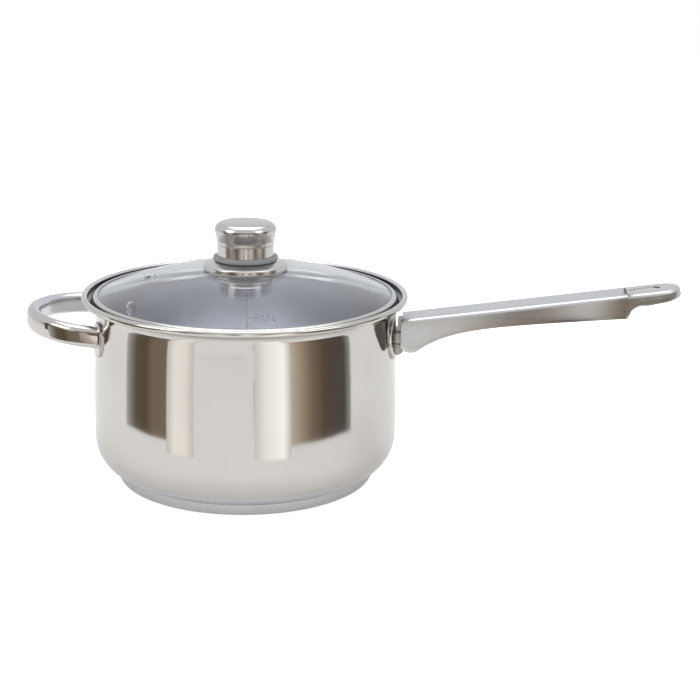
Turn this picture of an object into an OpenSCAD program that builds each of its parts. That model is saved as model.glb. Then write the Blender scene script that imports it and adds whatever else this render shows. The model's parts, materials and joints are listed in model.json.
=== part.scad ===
// Saucepan with a long channel handle, a loop helper handle and a domed glass lid.
// Millimetres. Z is up, the pan stands on z = 0 and its axis is the Z axis.
// The long handle points along +X and the loop handle along -X.

/* [Pan] */
// Height of the top of the rolled rim above the table
pan_h = 126; // [110:1:140]
// Outer diameter over the rolled rim
rim_d = 216; // [204:1:230]
// Thickness of the pan's steel sheet
wall_t = 0.8; // [0.6:0.1:1]
// How much wider the belly's radius is than the neck's
belly = 2.85; // [2:0.05:4]
// Radius of the turn from the side wall to the floor
corner_r = 24; // [20:1:30]
// Radius of the rolled bead's section
bead_r = 2.1; // [1.8:0.1:2.3]
// Concave radius of the flare under the bead
flare_r = 7; // [6.5:0.1:7.2]

/* [Base] */
// Height of the pan's floor sheet above the table
base_t = 5.6; // [5:0.1:7]
// Outer diameter of the steel cap round the core
cap_d = 172; // [164:1:176]
// Thickness of the cap's sheet
cap_t = 0.6; // [0.5:0.1:0.8]

/* [Long handle] */
// X of the handle's root end
root_x = 104.5; // [104:0.5:106]
// X of the handle's tip
tip_x = 285; // [270:1:300]
// Width over the two skirts
handle_w = 28; // [26:0.5:30]
// Thickness of the handle's sheet
handle_t = 1.2; // [1:0.1:1.6]
// Angle at which the handle rises from the pan
handle_slope = 8.6; // [6:0.1:10]
// Length of the hanging slot
slot_l = 19; // [16:1:20]
// Width of the hanging slot
slot_w = 9.5; // [8:0.5:10]

/* [Loop handle] */
// Radius of the loop's centre line
loop_r = 43.6; // [42:0.1:45]
// X distance from the pan's axis to the centre of the loop's round end
loop_x = 99.7; // [98:0.1:104]
// Width of the bar seen from above
loop_w = 9; // [8:0.5:10]
// Height of the bar
loop_h = 14.5; // [12:0.5:16]
// Angle at which the loop rises from the pan
loop_tilt = 5.6; // [0:0.1:8]

/* [Lid] */
// Height of the glass dome's crown above the table
crown_z = 142.8; // [141:0.1:145]
// Radius of the dome's outer surface
dome_r = 275; // [270:1:285]
// Thickness of the glass
glass_t = 4; // [3.6:0.1:4.2]
// Distance of the steam vent from the lid's axis
vent_x = 63.5; // [50:0.5:75]
// Direction of the steam vent seen from above
vent_a = 184; // [0:1:360]

/* [Knob] */
// Outer radius of the steel flange under the knob
flange_r = 28; // [26:0.5:30]
// Outer radius of the knob's neck
neck_r = 18.7; // [17:0.1:19]
// Largest radius of the knob's cap
knob_r = 20.3; // [20:0.1:21.5]

/* [Hidden] */
$fn = 96;

// The pan's wall: floor, corner arc, slightly swelling side, concave flare, bead
pan_neck_r = rim_d / 2 - 9.45;
belly_r = pan_neck_r + belly;
bead_x = rim_d / 2 - bead_r;
bead_z = pan_h - bead_r;
flare_x = pan_neck_r + flare_r;
flare_z = bead_z - 2.3 - flare_r;
corner_x = belly_r - corner_r;
corner_z = base_t + corner_r;
side_r = (pow(flare_z - corner_z, 2) + belly * belly) / (2 * belly);
side_a = asin((flare_z - corner_z) / side_r);
cap_r = cap_d / 2;

// Rivets and the pads that they hold
rivet_r = 1.85;
rivet_head_r = 4.6;
rivet_head_h = 1.3;
pad_t = 1.8;
fit_gap = 0.05;
long_rivet_a = 8.5;
long_pad_z = 98.8;
loop_pad_z = 100.5;
loop_leg_a = 26;

// The long handle's outline seen from the side
root_top_z = 112.8;
root_low_z = 91.3;
root_corner_r = 5;
nose_x = 251;
nose_cut_r = 9.5;
nose_r = 5.5;
nose_end_x = tip_x + 1;
nose_low_z = 133.8;
edge_r = 3;
slot_x = 261.6;

// The lid: the glass ends in a round edge that the steel band wraps
lid_gap = 0.3;
band_t = 0.9;
edge_x = 98.3;
mid_r = dome_r - glass_t / 2;
dome_z = crown_z - dome_r;
edge_a = acos(edge_x / mid_r);
edge_z = dome_z + mid_r * sin(edge_a);
screw_hole_r = 2.7;
glass_hole_r = 5;

// Heights of the knob's pieces, from the flange up
flange_low_z = 142.1;
flange_top_z = 147.7;
ring_top_z = 150.3;
cap_low_z = 157.8;
knob_wide_z = 167.5;
knob_top_z = 173.4;
knob_sheet = 0.8;

// Heights of the pieces under the glass, from the gasket down
cup_r = 17.3;
cup_top_z = 137.2;
cup_low_z = 128.5;
cup_corner_r = 3;
washer_low_z = 127.3;
screw_head_h = 3.2;
screw_top_z = 160;

// Points along an arc from angle a0 to a1 in n steps
function arc(cx, cy, r, a0, a1, n) =
    [for (i = [0:n]) let (a = a0 + (a1 - a0) * i / n) [cx + r * cos(a), cy + r * sin(a)]];
function reversed(v) = [for (i = [len(v) - 1:-1:0]) v[i]];

// Outer radius of the side wall at height z
function side_x(z) = belly_r - side_r + sqrt(side_r * side_r - pow(z - corner_z, 2));
// Height of the underside of the pan's corner at radius r
function under_z(r) = corner_z - sqrt(corner_r * corner_r - pow(r - corner_x, 2));
// Height of the glass's outer and inner surface at radius r
function glass_top(r) = dome_z + sqrt(dome_r * dome_r - r * r);
function glass_low(r) = dome_z + sqrt(pow(dome_r - glass_t, 2) - r * r);
// Height of the long handle's top face, and of its skirt's lower edge, at x
function handle_top(x) = root_top_z + (x - root_x) * tan(handle_slope);
function skirt_z(x) = 105 + 0.096 * (x - 99) - 12.9 * exp((117.5 - x) / 20);

// The wall's section at a depth inside its outer face, from the axis to the flare's lip
function wall_path(depth) = concat(
    [[0, base_t + depth]],
    arc(corner_x, corner_z, corner_r - depth, -90, 0, 12),
    arc(belly_r - side_r, corner_z, side_r - depth, side_a / 6, side_a * 5 / 6, 4),
    arc(flare_x, flare_z, flare_r + depth, 180, 90, 8)
);

module pan_body() {
    color("silver") difference() {
        rotate_extrude() {
            polygon(concat(wall_path(0), reversed(wall_path(wall_t))));
            translate([bead_x, bead_z]) circle(r = bead_r);
        }
        for (a = [-long_rivet_a, long_rivet_a]) rivet_bore(a, long_pad_z);
        for (a = [180 - loop_leg_a, 180 + loop_leg_a]) rivet_bore(a, loop_pad_z);
    }
}

module base_core() {
    color("gainsboro") translate([0, 0, cap_t])
        cylinder(r = cap_r - 2.1, h = base_t - cap_t);
}

module base_cap() {
    foot_r = 2;
    color("silver") rotate_extrude() polygon(concat(
        [[0, 0]],
        arc(cap_r - foot_r, foot_r, foot_r, -90, 0, 6),
        [[cap_r, under_z(cap_r) - fit_gap], [cap_r - cap_t, under_z(cap_r - cap_t) - fit_gap]],
        arc(cap_r - foot_r, foot_r, foot_r - cap_t, 0, -90, 6),
        [[0, cap_t]]
    ));
}

// A round hole through the wall and its pad, at an angle round the pan and a height
module rivet_bore(a, z) {
    rotate([0, 0, a]) translate([side_x(z) - 6, 0, z]) rotate([0, 90, 0])
        cylinder(r = rivet_r + fit_gap, h = 12);
}

// A rivet with a low domed head inside the pan and a flush end on the pad
module rivet(a, z) {
    seat_gap = 0.2;
    head_x = side_x(z + rivet_head_r) - wall_t - seat_gap;
    end_x = side_x(z + rivet_r) + pad_t - seat_gap / 2;
    dome_sphere_r = (rivet_head_r * rivet_head_r + rivet_head_h * rivet_head_h) / (2 * rivet_head_h);
    dome_a = asin(rivet_head_r / dome_sphere_r);
    rotate([0, 0, a]) translate([head_x, 0, z]) rotate([0, 90, 0]) rotate_extrude() polygon(concat(
        [[0, end_x - head_x], [rivet_r, end_x - head_x]],
        [[rivet_r, 0]],
        arc(0, dome_sphere_r - rivet_head_h, dome_sphere_r, dome_a - 90, -90, 6)
    ));
}

// Everything within the side wall's outer face plus a margin
module wall_zone(margin) {
    low_z = 70;
    steps = 8;
    rotate_extrude() polygon(concat(
        [[0, flare_z], [0, low_z]],
        [for (i = [0:steps]) let (z = low_z + (flare_z - low_z) * i / steps) [side_x(z) + margin, z]]
    ));
}

// A rounded rectangle
module rounded_plate(w, h, r) {
    square([w - 2 * r, h], center = true);
    square([w, h - 2 * r], center = true);
    for (x = [-1, 1], y = [-1, 1]) translate([x * (w / 2 - r), y * (h / 2 - r)]) circle(r = r);
}

// A plate bent to the wall, at an angle round the pan and a height, with its rivet holes
module pad(a, z, w, h, r, rivet_angles) {
    difference() {
        intersection() {
            rotate([0, 0, a]) translate([60, 0, z]) rotate([90, 0, 90])
                linear_extrude(60) rounded_plate(w, h, r);
            wall_zone(pad_t);
        }
        wall_zone(fit_gap / 2);
        for (b = rivet_angles) rivet_bore(b, z);
    }
}

// The handle's cross-section, top face on y = 0, seen along the handle
module handle_section(inset) {
    w = handle_w / 2 - inset;
    r = edge_r - inset;
    depth = 60;
    translate([-w, -depth]) square([2 * w, depth - inset - r]);
    translate([r - w, -depth]) square([2 * (w - r), depth - inset]);
    for (x = [-1, 1]) translate([x * (w - r), -inset - r]) circle(r = r);
}

// The handle's outline seen from above, with a round tip
module handle_plan(inset) {
    w = handle_w / 2 - inset;
    translate([root_x - 2, -w]) square([tip_x - handle_w / 2 - root_x + 2, 2 * w]);
    translate([tip_x - handle_w / 2, 0]) circle(r = w);
}

// The round end of the top face, seen from the side, that the round plan trims
function nose_arc(inset) = arc(
    nose_end_x - nose_r, handle_top(nose_end_x - nose_r) - nose_r / cos(handle_slope),
    nose_r - inset, 0, 90 + handle_slope, 6
);

// The handle's outline seen from the side: deep root, thin skirt, cut-away nose
module handle_side() {
    polygon(concat(
        arc(root_x + root_corner_r, root_low_z + root_corner_r, root_corner_r, 180, 270, 5),
        [for (x = [114.4:3.6:150]) [x, skirt_z(x)]],
        [for (x = [158:15.5:nose_x]) [x, skirt_z(x)]],
        arc(nose_x + nose_cut_r, skirt_z(nose_x) - 0.6, nose_cut_r, 176, 100, 6),
        [[nose_end_x, nose_low_z]],
        nose_arc(0),
        [[nose_arc(0)[6][0], handle_top(nose_end_x)], [root_x, handle_top(nose_end_x)]]
    ));
}

// The space under the top face that makes the handle a channel
module handle_hollow() {
    side_low = 60;
    intersection() {
        rotate([90, 0, 0]) linear_extrude(handle_w, center = true) polygon(concat(
            [[root_x - 1, side_low], [nose_end_x - handle_t, side_low]],
            nose_arc(handle_t),
            [[root_x - 1, handle_top(root_x - 1) - handle_t / cos(handle_slope)]]
        ));
        linear_extrude(200) handle_plan(handle_t);
        along_handle(-4) handle_section(handle_t);
    }
}

// Extrudes a section along the handle's top face, from a distance past the root
module along_handle(start) {
    translate([root_x, 0, root_top_z]) rotate([0, -handle_slope, 0]) translate([start, 0, 0])
        rotate([90, 0, 90]) linear_extrude(tip_x - root_x + 20) children();
}

module long_handle() {
    color("silver") difference() {
        intersection() {
            rotate([90, 0, 0]) linear_extrude(handle_w + 2, center = true) handle_side();
            linear_extrude(200) handle_plan(0);
            along_handle(-10) handle_section(0);
        }
        handle_hollow();
        hanging_slot();
    }
}

// The slot through the top face, square to it
module hanging_slot() {
    straight = slot_l - slot_w;
    translate([slot_x, 0, handle_top(slot_x)]) rotate([0, -handle_slope, 0]) {
        for (x = [-straight / 2, straight / 2]) translate([x, 0, -6]) cylinder(r = slot_w / 2, h = 12);
        translate([-straight / 2, -slot_w / 2, -6]) cube([straight, slot_w, 12]);
    }
}

// End plate in the channel's mouth, joined to the pad by two stacked ribs
module long_handle_bracket() {
    plate_t = 2;
    plate_w = handle_w - 2 * handle_t - 2 * fit_gap;
    plate_low_z = root_low_z + 2;
    rib_r = 4;
    rib_l = 19;
    color("darkgray") difference() {
        union() {
            intersection() {
                translate([root_x, -plate_w / 2, plate_low_z]) cube([plate_t, plate_w, 30]);
                along_handle(-4) handle_section(handle_t + fit_gap);
            }
            for (z = [92.1, 99.7]) translate([102.4, rib_l / 2, z]) rotate([90, 0, 0])
                cylinder(r = rib_r, h = rib_l);
        }
        wall_zone(pad_t + fit_gap / 2);
    }
}

module long_handle_pad() {
    color("silver") pad(0, long_pad_z, 40, 27, 12, [-long_rivet_a, long_rivet_a]);
}

module long_handle_rivets() {
    color("lightgray") for (a = [-long_rivet_a, long_rivet_a]) rivet(a, long_pad_z);
}

// The bar's section: straight sides with round top and bottom
module loop_section() {
    straight = loop_h - loop_w;
    square([loop_w, straight], center = true);
    for (y = [-1, 1]) translate([0, y * straight / 2]) circle(r = loop_w / 2);
}

module loop_handle() {
    leg_l = 16;
    pivot_x = 90;
    pivot_z = 101.6;
    color("silver") difference() {
        translate([-pivot_x, 0, pivot_z]) rotate([0, loop_tilt, 0]) translate([pivot_x - loop_x, 0, 0]) {
            rotate([0, 0, 90]) rotate_extrude(angle = 180) translate([loop_r, 0]) loop_section();
            for (y = [-loop_r, loop_r]) translate([0, y, 0]) rotate([90, 0, 90])
                linear_extrude(leg_l) loop_section();
        }
        wall_zone(pad_t + fit_gap / 2);
    }
}

module loop_handle_pads() {
    color("silver") for (a = [180 - loop_leg_a, 180 + loop_leg_a]) pad(a, loop_pad_z, 18, 23, 8, [a]);
}

module loop_handle_rivets() {
    color("lightgray") for (a = [180 - loop_leg_a, 180 + loop_leg_a]) rivet(a, loop_pad_z);
}

// Half section of the glass: two arcs joined by a round edge
module glass_section() {
    polygon(concat(
        arc(0, dome_z, dome_r, 90, edge_a, 12),
        arc(edge_x, edge_z, glass_t / 2, edge_a, edge_a - 180, 10),
        arc(0, dome_z, dome_r - glass_t, edge_a, 90, 12)
    ));
}

// Moves a piece on the dome's axis to the steam vent, square to the glass
module at_vent() {
    translate([0, 0, dome_z]) rotate([0, 0, vent_a]) rotate([0, asin(vent_x / mid_r), 0]) children();
}

module lid_glass() {
    color("lightblue", 0.4) difference() {
        rotate_extrude() glass_section();
        translate([0, 0, crown_z - 10]) cylinder(r = glass_hole_r, h = 20);
        at_vent() translate([0, 0, mid_r - 10]) cylinder(r = 2.65, h = 20);
    }
}

// Rolled steel band round the glass's edge, clear of the flare that it rests in
module lid_band() {
    lip_x = 97.6;
    color("silver") rotate_extrude() difference() {
        translate([edge_x, edge_z]) circle(r = glass_t / 2 + band_t);
        glass_section();
        translate([flare_x, flare_z]) circle(r = flare_r + wall_t + lid_gap);
        translate([lip_x - 10, edge_z - 10]) square([10, 20]);
    }
}

// Steel eyelet that lines the steam vent, with a flange on each side of the glass
module vent_eyelet() {
    tube_r = 2.6;
    bore_r = 1.7;
    over = dome_r + fit_gap;
    under = dome_r - glass_t - 2 * fit_gap;
    color("silver") at_vent() rotate_extrude() polygon([
        [bore_r, under - 0.6], [3.7, under - 0.6], [3.9, under - 0.3], [3.9, under], [tube_r, under],
        [tube_r, over], [4.2, over], [4.2, over + 0.4], [3.8, over + 0.8], [2.2, over + 1], [bore_r, over + 0.7]
    ]);
}

// The cap's section at a depth inside its outer face: lip, swell, shoulder, low crown
function knob_path(depth) = concat(
    [[neck_r + 0.2 - depth, cap_low_z], [neck_r + 0.3 - depth, cap_low_z + 2.6]],
    [[knob_r - 0.7 - depth, cap_low_z + 5.6]],
    arc(knob_r - 5, knob_wide_z, 5 - depth, -12, 78, 8),
    [[8, knob_top_z - 0.25 - depth], [0, knob_top_z - depth]]
);

module knob_cap() {
    color("silver") rotate_extrude()
        polygon(concat(knob_path(0), reversed(knob_path(knob_sheet))));
}

// Plastic body inside the cap and the neck, with a foot through the ring
module knob_core() {
    color("dimgray") difference() {
        union() {
            translate([0, 0, flange_top_z + fit_gap]) cylinder(r = 7.9, h = 5);
            translate([0, 0, ring_top_z + fit_gap])
                cylinder(r = neck_r - knob_sheet - fit_gap, h = 170.4 - ring_top_z);
        }
        translate([0, 0, flange_top_z - 1]) cylinder(r = 4.02, h = 16);
    }
}

module knob_insert() {
    color("goldenrod") translate([0, 0, flange_top_z + 0.3]) difference() {
        cylinder(r = 4, h = 14);
        translate([0, 0, -1]) cylinder(r = 2.5, h = 16);
    }
}

module knob_neck() {
    color("silver") translate([0, 0, ring_top_z]) difference() {
        cylinder(r = neck_r, h = cap_low_z - ring_top_z);
        translate([0, 0, -1]) cylinder(r = neck_r - knob_sheet, h = 20);
    }
}

module knob_ring() {
    ring_r = 21.4;
    color("slategray") rotate_extrude() polygon([
        [8, flange_top_z], [ring_r - 0.6, flange_top_z], [ring_r, flange_top_z + 0.6],
        [ring_r, ring_top_z - 0.7], [ring_r - 0.7, ring_top_z], [8, ring_top_z]
    ]);
}

module knob_flange() {
    color("silver") rotate_extrude() polygon([
        [flange_r, flange_low_z], [flange_r, 143.9], [flange_r - 0.3, 144.6], [flange_r - 1.1, 145.1],
        [23, 146.2], [20.6, 147.3], [19.4, flange_top_z], [screw_hole_r, flange_top_z],
        [screw_hole_r, flange_top_z - 0.9], [19.1, flange_top_z - 0.9], [20.2, 146.5],
        [22.7, 145.35], [flange_r - 1.5, 144.25], [flange_r - 0.9, 143.8], [flange_r - 0.9, flange_low_z]
    ]);
}

module flange_gasket() {
    inner = flange_r - 4;
    outer = flange_r - 0.4;
    color("whitesmoke") rotate_extrude() polygon([
        [inner, glass_top(inner) + fit_gap], [outer, glass_top(outer) + fit_gap],
        [outer, flange_low_z], [inner, flange_low_z]
    ]);
}

// Nylon spacer on the glass, with a sleeve through its hole
module spacer_bush() {
    top_z = flange_top_z - 0.9 - fit_gap;
    seat_z = crown_z + fit_gap;
    color("ivory") difference() {
        union() {
            translate([0, 0, seat_z]) cylinder(r = 8, h = top_z - seat_z);
            translate([0, 0, crown_z - glass_t + 0.2]) cylinder(r = glass_hole_r - fit_gap, h = glass_t);
        }
        translate([0, 0, crown_z - 10]) cylinder(r = screw_hole_r, h = 20);
    }
}

module under_gasket() {
    inner = 8;
    color("whitesmoke") rotate_extrude() polygon([
        [inner, cup_top_z], [cup_r, cup_top_z],
        [cup_r, glass_low(cup_r) - fit_gap], [inner, glass_low(inner) - fit_gap]
    ]);
}

// Steel cup under the glass, closed below, that spreads the screw's pull
module under_cup() {
    sheet = 0.8;
    color("silver") rotate_extrude() polygon(concat(
        [[screw_hole_r, cup_low_z]],
        arc(cup_r - cup_corner_r, cup_low_z + cup_corner_r, cup_corner_r, -90, 0, 6),
        [[cup_r, cup_top_z], [cup_r - sheet, cup_top_z]],
        arc(cup_r - cup_corner_r, cup_low_z + cup_corner_r, cup_corner_r - sheet, 0, -90, 6),
        [[screw_hole_r, cup_low_z + sheet]]
    ));
}

// Spring washer, split at one side
module lock_washer() {
    color("darkgray") translate([0, 0, washer_low_z]) difference() {
        cylinder(r = 4.5, h = cup_low_z - washer_low_z);
        translate([0, 0, -1]) cylinder(r = 2.6, h = 4);
        translate([0, -0.4, -1]) cube([6, 0.8, 4]);
    }
}

// Pan-head screw with a cross recess
module lid_screw() {
    head_r = 4.6;
    recess_w = 1.1;
    recess_l = 5;
    recess_d = 1.8;
    head_low_z = washer_low_z - screw_head_h;
    color("silver") difference() {
        union() {
            translate([0, 0, washer_low_z]) cylinder(r = 2.45, h = screw_top_z - washer_low_z);
            rotate_extrude() polygon(concat(
                [[0, washer_low_z], [0, head_low_z]],
                arc(head_r - 1.6, head_low_z + 1.6, 1.6, -90, 0, 4),
                [[head_r, washer_low_z]]
            ));
        }
        for (a = [0, 90]) rotate([0, 0, a]) translate([-recess_l / 2, -recess_w / 2, head_low_z - 1])
            cube([recess_l, recess_w, 1 + recess_d]);
    }
}

pan_body();
base_core();
base_cap();
long_handle();
long_handle_bracket();
long_handle_pad();
long_handle_rivets();
loop_handle();
loop_handle_pads();
loop_handle_rivets();
lid_glass();
lid_band();
vent_eyelet();
knob_cap();
knob_core();
knob_insert();
knob_neck();
knob_ring();
knob_flange();
flange_gasket();
spacer_bush();
under_gasket();
under_cup();
lock_washer();
lid_screw();
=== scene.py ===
# %% [markdown]
# # A saucepan with a glass lid
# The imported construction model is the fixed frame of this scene. It says where every part is, how wide
# and how tall. Here each visible part gets a finer mesh and a real finish, in the same place.

# %% Load the frame
import json
import math

import bmesh
import bpy
from mathutils import Matrix, Vector

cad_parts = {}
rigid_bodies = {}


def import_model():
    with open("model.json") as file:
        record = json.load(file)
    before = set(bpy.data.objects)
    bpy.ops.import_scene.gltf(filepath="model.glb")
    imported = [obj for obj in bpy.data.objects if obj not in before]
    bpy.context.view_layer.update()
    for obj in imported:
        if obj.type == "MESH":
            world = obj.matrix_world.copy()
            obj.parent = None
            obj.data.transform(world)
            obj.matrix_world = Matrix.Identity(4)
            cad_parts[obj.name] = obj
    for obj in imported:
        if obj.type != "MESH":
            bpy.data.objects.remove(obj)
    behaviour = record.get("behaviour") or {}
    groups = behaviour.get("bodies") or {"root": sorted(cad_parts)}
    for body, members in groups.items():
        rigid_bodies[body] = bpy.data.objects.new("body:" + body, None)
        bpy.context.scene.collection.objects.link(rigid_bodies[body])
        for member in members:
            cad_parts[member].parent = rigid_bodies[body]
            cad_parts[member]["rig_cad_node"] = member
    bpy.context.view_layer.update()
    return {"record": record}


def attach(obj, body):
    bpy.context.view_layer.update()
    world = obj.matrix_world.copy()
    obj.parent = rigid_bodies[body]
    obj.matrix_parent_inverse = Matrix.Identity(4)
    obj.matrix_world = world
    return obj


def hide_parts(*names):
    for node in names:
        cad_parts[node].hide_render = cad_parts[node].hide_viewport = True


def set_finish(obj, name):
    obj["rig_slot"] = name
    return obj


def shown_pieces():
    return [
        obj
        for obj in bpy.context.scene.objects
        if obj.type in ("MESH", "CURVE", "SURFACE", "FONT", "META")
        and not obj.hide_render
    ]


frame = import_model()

# %% [markdown]
# ## Drawing an outline
# Nearly everything on a saucepan is turned or pressed round one axis. A half outline in the plane of
# radius and height, spun round, gives the whole shape. The outline is a wire: a straight line joins a
# new vertex to the last one, and an arc spins the last vertex about its centre. A corner can be rounded
# afterwards with a vertex bevel, the way an edge is broken on a lathe. Sizes are in millimetres, and
# every vertex is stored in metres.

# %% A pen for outlines
MM = 0.001
CORNER_STEPS = 5


class Pen:
    """Draws a wire in the plane of radius (X) and height (Z), in millimetres."""

    def __init__(self, bm, radius, height):
        self.bm = bm
        self.first = self.tip = bm.verts.new((radius * MM, 0, height * MM))
        self.corners = []

    def line(self, radius, height, rounding=0):
        new = self.bm.verts.new((radius * MM, 0, height * MM))
        self.bm.edges.new((self.tip, new))
        self.tip = new
        if rounding:
            self.corners.append((new, rounding * MM))
        return self

    def arc(self, radius, height, degrees, steps=10):
        made = bmesh.ops.spin(
            self.bm, geom=[self.tip], cent=(radius * MM, 0, height * MM), axis=(0, -1, 0),
            angle=math.radians(degrees), steps=steps,
        )
        self.tip = next(v for v in made["geom_last"] if isinstance(v, bmesh.types.BMVert))
        return self

    def done(self, closed=False):
        if closed:
            self.bm.edges.new((self.tip, self.first))
        for corner, rounding in self.corners:
            a, b = [(e.other_vert(corner).co - corner.co).normalized() for e in corner.link_edges]
            half_turn = (math.pi - a.angle(b)) / 2
            bmesh.ops.bevel(
                self.bm, geom=[corner], offset=rounding * math.tan(half_turn), affect="VERTICES",
                segments=CORNER_STEPS, profile=0.5, material=-1,
            )
        bmesh.ops.remove_doubles(self.bm, verts=self.bm.verts[:], dist=0.001 * MM)
        return self.bm


def outline(radius, height):
    return Pen(bmesh.new(), radius, height)


print("outline corners are rounded in", CORNER_STEPS, "steps")

# %% [markdown]
# ## From outline to piece
# A full spin with its seam merged closes the turned shape, and merging doubles closes the poles on the
# axis. Then the faces are made to point outwards. On an open skin that is only sure up to a flip, so
# the volume's sign settles it. Thin sheet gets its thickness last, from a Solidify modifier.

# %% Turn an outline, and make a piece of it
TURN_STEPS = 192
SHARP_ANGLE = math.radians(38)


def face_outwards(bm):
    """Merges doubles and points every face outwards, whether the skin is closed or open."""
    bmesh.ops.remove_doubles(bm, verts=bm.verts[:], dist=0.001 * MM)
    bmesh.ops.recalc_face_normals(bm, faces=bm.faces[:])
    middle = sum((v.co for v in bm.verts), Vector()) / len(bm.verts)
    bmesh.ops.translate(bm, verts=bm.verts[:], vec=-middle)
    if bm.calc_volume(signed=True) < 0:
        bmesh.ops.reverse_faces(bm, faces=bm.faces[:])
    bmesh.ops.translate(bm, verts=bm.verts[:], vec=middle)
    return bm


def turned(bm, steps=TURN_STEPS):
    bmesh.ops.spin(
        bm, geom=bm.verts[:] + bm.edges[:], cent=(0, 0, 0), axis=(0, 0, 1),
        angle=2 * math.pi, steps=steps, use_merge=True,
    )
    return face_outwards(bm)


def piece(name, bm, body, stands_for=(), slot=None, sheet=0, edge=0, smooth=SHARP_ANGLE):
    mesh = bpy.data.meshes.new(name)
    bm.to_mesh(mesh)
    bm.free()
    mesh.shade_smooth()
    mesh.set_sharp_from_angle(angle=smooth)
    made = bpy.data.objects.new(name, mesh)
    bpy.context.scene.collection.objects.link(made)
    if sheet:
        thick = made.modifiers.new("sheet", "SOLIDIFY")
        thick.thickness = sheet * MM
        thick.offset = -1
        thick.use_even_offset = True
    if edge:
        soft = made.modifiers.new("edge", "BEVEL")
        soft.width = edge * MM
        soft.segments = 3
        soft.limit_method = "ANGLE"
        soft.angle_limit = math.radians(50)
        soft.harden_normals = False
    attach(made, body)
    if stands_for:
        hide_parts(*stands_for)
    if slot:
        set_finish(made, slot)
    print(name, len(mesh.polygons), "faces")
    return made


# %% [markdown]
# ## The pan body
# One drawn steel sheet: a flat floor, a wide turned corner, a side wall that swells very slightly, a
# neck, a concave flare and a bead rolled on the rim. The outer and the inner face of the sheet are both
# drawn, because they meet in the bead, so the spin gives a closed skin of the true thickness.

# %% Pan body
SHEET = 0.8
RIM_TOP = 126
FLOOR_LOW = 5.6
NECK_R, BELLY_R, NECK_Z = 98.55, 101.4, 114.6
CORNER_R, CORNER_X = 24, 77.4
CORNER_Z = FLOOR_LOW + CORNER_R
SWELL = BELLY_R - NECK_R
SIDE_R = ((NECK_Z - CORNER_Z) ** 2 + SWELL ** 2) / (2 * SWELL)
SIDE_TURN = math.degrees(math.asin((NECK_Z - CORNER_Z) / SIDE_R))
FLARE_R = 7
FLARE_X = NECK_R + FLARE_R
BEAD_R, BEAD_X = 2.1, 105.9
BEAD_Z = RIM_TOP - BEAD_R


def wall_radius(height):
    """Outer radius of the side wall at a height, in millimetres."""
    return BELLY_R - SIDE_R + math.sqrt(SIDE_R ** 2 - (height - CORNER_Z) ** 2)


bead_meets_flare, flare_turn = 41.6, 82.3
body = outline(0, FLOOR_LOW)
body.line(CORNER_X, FLOOR_LOW).arc(CORNER_X, CORNER_Z, 90, 16)
body.arc(BELLY_R - SIDE_R, CORNER_Z, SIDE_TURN, 12)
body.arc(FLARE_X, NECK_Z, -90, 12)
body.line(BEAD_X, BEAD_Z - BEAD_R).arc(BEAD_X, BEAD_Z, 360 - bead_meets_flare, 24)
body.arc(FLARE_X, NECK_Z, flare_turn, 12)
body.line(NECK_R - SHEET, NECK_Z).arc(BELLY_R - SIDE_R, CORNER_Z, -SIDE_TURN, 12)
body.line(BELLY_R - SHEET, CORNER_Z).arc(CORNER_X, CORNER_Z, -90, 16)
body.line(0, FLOOR_LOW + SHEET)
piece(
    "pan_shell", turned(body.done()), "pan", ["pan_body"], "polished_steel", smooth=math.radians(30)
)

# %% [markdown]
# ## The base cap
# A shallow steel cap closes the heat-spreading disc under the floor. Its upper edge is the fine seam
# line low on the pan, and its foot has a small radius.

# %% Base cap
CAP_R, CAP_SHEET, FOOT_R, SEAM_Z = 86, 0.6, 2, 7.1
cap_line = outline(0, 0)
cap_line.line(CAP_R - FOOT_R, 0).arc(CAP_R - FOOT_R, FOOT_R, 90, 8)
cap_line.line(CAP_R, SEAM_Z).line(CAP_R - CAP_SHEET, SEAM_Z - 0.2).line(CAP_R - CAP_SHEET, FOOT_R)
cap_line.arc(CAP_R - FOOT_R, FOOT_R, -90, 8).line(0, CAP_SHEET)
piece("base_cap_shell", turned(cap_line.done()), "pan", ["base_cap"], "satin_steel")

# %% [markdown]
# ## Rivets
# Each handle's pad is held by two low domed rivets, whose heads show inside the pan. One head is
# turned on the Z axis with its shank, laid down so that it points inwards, and set into the wall.

# %% Rivets
RIVET_R, HEAD_R, HEAD_H, PAD_SHEET = 1.85, 5.2, 1.7, 1.8
SEAT = 0.1
LONG_RIVET_ANGLE, LONG_PAD_Z = 8.5, 98.8
LOOP_ANGLE, LOOP_PAD_Z = 26, 100.5


def gather(whole, part):
    """Adds one finished bmesh to another."""
    loose = bpy.data.meshes.new("loose")
    part.to_mesh(loose)
    part.free()
    whole.from_mesh(loose)
    bpy.data.meshes.remove(loose)


def rivet_pair(name, angles, height, stands_for):
    """Two rivets through wall and pads, whose ends keep a small gap in their seats."""
    bm = bmesh.new()
    head_plane = wall_radius(height + HEAD_R) - SHEET - SEAT
    shank_end = wall_radius(height) + PAD_SHEET - 2 * SEAT
    for angle in angles:
        one = outline(0, shank_end - head_plane)
        one.line(RIVET_R, shank_end - head_plane).line(RIVET_R, 0).line(HEAD_R, 0)
        one.line(HEAD_R, -HEAD_H * 0.45, 1.2).line(0, -HEAD_H, 0)
        turned(one.done(), 48)
        lay = Matrix.Rotation(math.radians(90), 4, "Y")
        out = Matrix.Translation((head_plane * MM, 0, height * MM))
        round_pan = Matrix.Rotation(math.radians(angle), 4, "Z")
        one.bm.transform(round_pan @ out @ lay)
        gather(bm, one.bm)
    piece(name, bm, "pan", [stands_for], "polished_steel")


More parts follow.
